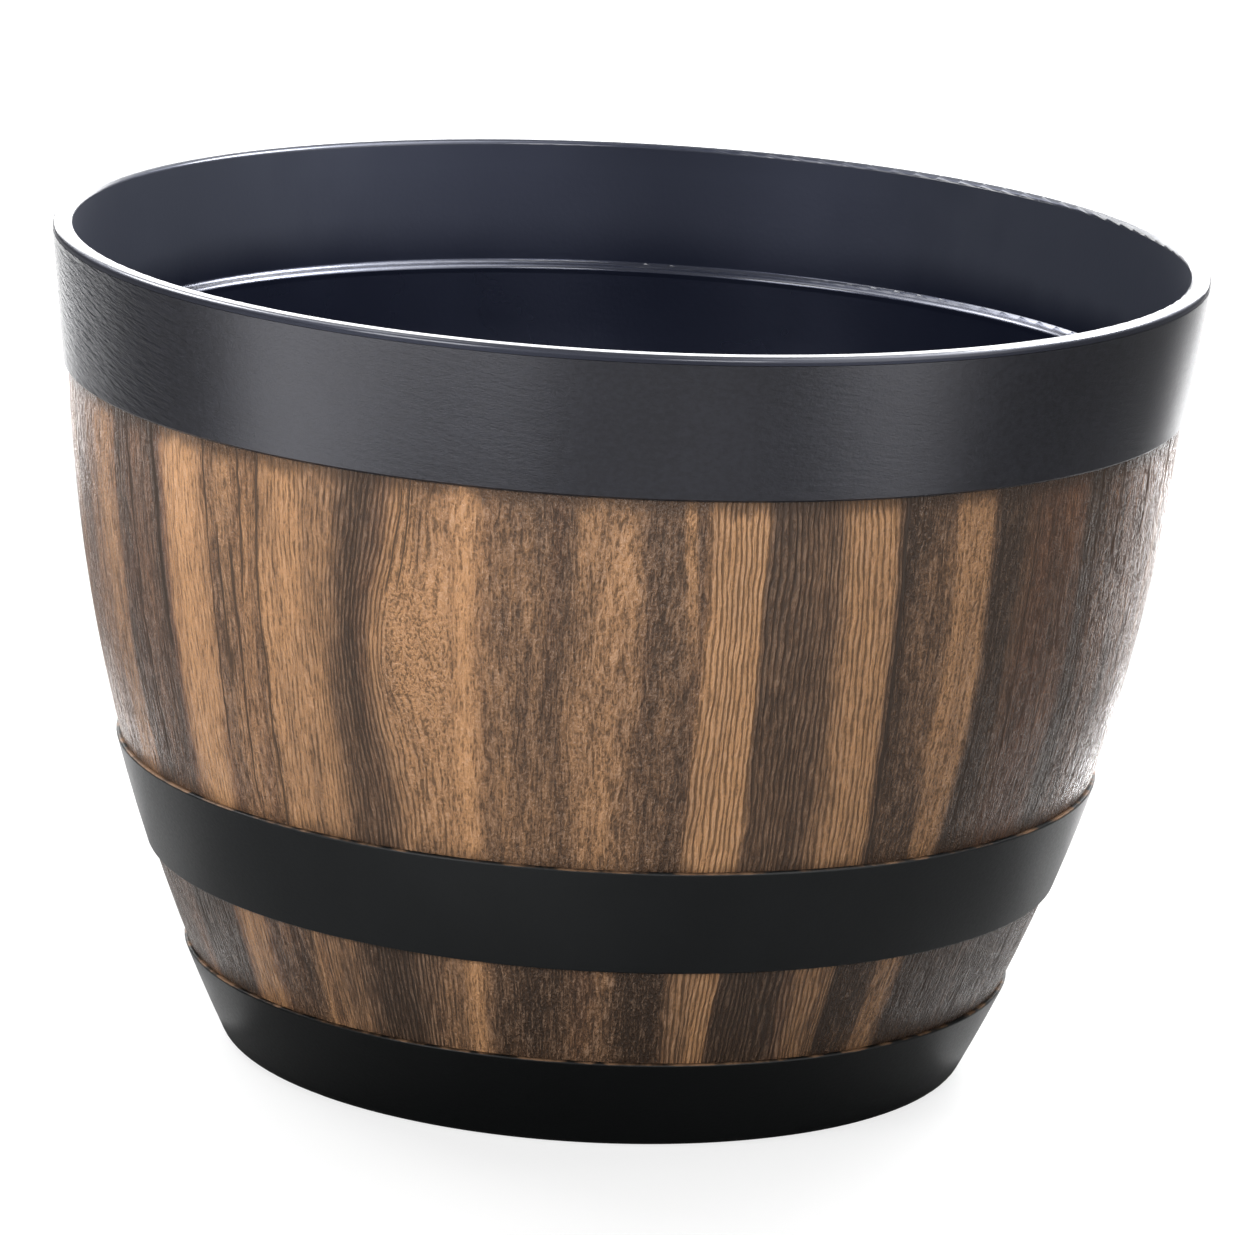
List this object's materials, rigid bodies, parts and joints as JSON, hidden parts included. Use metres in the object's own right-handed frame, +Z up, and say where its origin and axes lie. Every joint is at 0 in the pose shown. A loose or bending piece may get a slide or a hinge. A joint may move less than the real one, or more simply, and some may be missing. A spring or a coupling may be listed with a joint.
{
  "type": "barrel planter",
  "caption": "Round barrel-shaped floor planter: a black moulded pot with a rolled lip inside a bulged wood-effect wall, with dark hoops and lift-out drain plugs.",
  "frame": {"origin": "on the ground, at the middle of the planter's base", "axes": "+Z up along the planter's axis; the front, as in the picture, faces -Y; it is round, so any side can be the front"},
  "size_m": [0.39, 0.39, 0.28],
  "materials": {
    "pot_black": "moulded blue-black plastic, semi-gloss",
    "wood_effect": "moulded plastic with a printed and embossed oak grain, satin",
    "rim_charcoal": "charcoal plastic with a fine brushed texture, satin",
    "hoop_black": "black plastic, satin",
    "plug_rubber": "soft black rubber, matt"
  },
  "bodies": {
    "planter": {"inner_pot": "pot_black", "barrel_wall": "wood_effect", "rim_hoop": "rim_charcoal", "middle_hoop": "hoop_black", "base_hoop": "hoop_black"},
    "plug_back_right": {"drain_plug_back_right": "plug_rubber"},
    "plug_back_left": {"drain_plug_back_left": "plug_rubber"},
    "plug_front_left": {"drain_plug_front_left": "plug_rubber"},
    "plug_front_right": {"drain_plug_front_right": "plug_rubber"}
  },
  "joints": [
    {"name": "plug_back_right_lift", "type": "slide", "parent": "planter", "child": "plug_back_right", "axis": [0, 0, 1], "range_m": [0, 0.28]},
    {"name": "plug_back_left_lift", "type": "slide", "parent": "planter", "child": "plug_back_left", "axis": [0, 0, 1], "range_m": [0, 0.28]},
    {"name": "plug_front_left_lift", "type": "slide", "parent": "planter", "child": "plug_front_left", "axis": [0, 0, 1], "range_m": [0, 0.28]},
    {"name": "plug_front_right_lift", "type": "slide", "parent": "planter", "child": "plug_front_right", "axis": [0, 0, 1], "range_m": [0, 0.28]}
  ]
}
